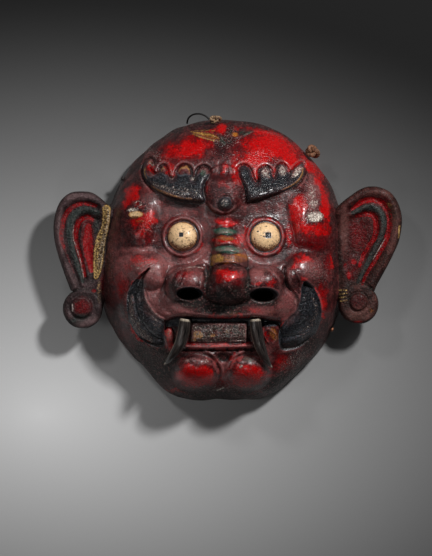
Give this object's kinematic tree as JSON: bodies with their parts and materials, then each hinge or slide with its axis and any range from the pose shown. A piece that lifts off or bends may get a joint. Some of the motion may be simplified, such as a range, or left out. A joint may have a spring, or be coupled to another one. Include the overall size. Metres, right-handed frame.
{
  "type": "lakhe mask",
  "caption": "Hollow carved wooden demon mask with tiered brows, round eyes, open mouth, curled moustache, horn tusks and separate lobed ears, finished in worn red and black lacquer.",
  "frame": {"origin": "middle of the bounding box at the bottom, on the plane of the mask's rim", "axes": "+Z out of the face, +Y towards the crown, +X to the right of a viewer facing the mask; the mask lies face up on its rim"},
  "size_m": [0.4, 0.3312, 0.1364],
  "materials": {
    "face_shell": "worn red and black lacquer over carved wood",
    "ear_left": "worn red and dark brown lacquer over carved wood",
    "ear_right": "worn red and dark brown lacquer over carved wood",
    "tusk_left": "polished dark horn",
    "tusk_right": "polished dark horn",
    "knot_top": "twisted brown fibre cord",
    "knot_side": "twisted brown fibre cord",
    "hanging_wire": "blackened iron wire",
    "rim_nail_left": "dull iron",
    "rim_nail_right": "tarnished copper"
  },
  "bodies": {
    "root": {"face_shell": "face_shell", "ear_left": "ear_left", "ear_right": "ear_right", "tusk_left": "tusk_left", "tusk_right": "tusk_right", "knot_top": "knot_top", "knot_side": "knot_side", "hanging_wire": "hanging_wire", "rim_nail_left": "rim_nail_left", "rim_nail_right": "rim_nail_right"}
  },
  "joints": []
}
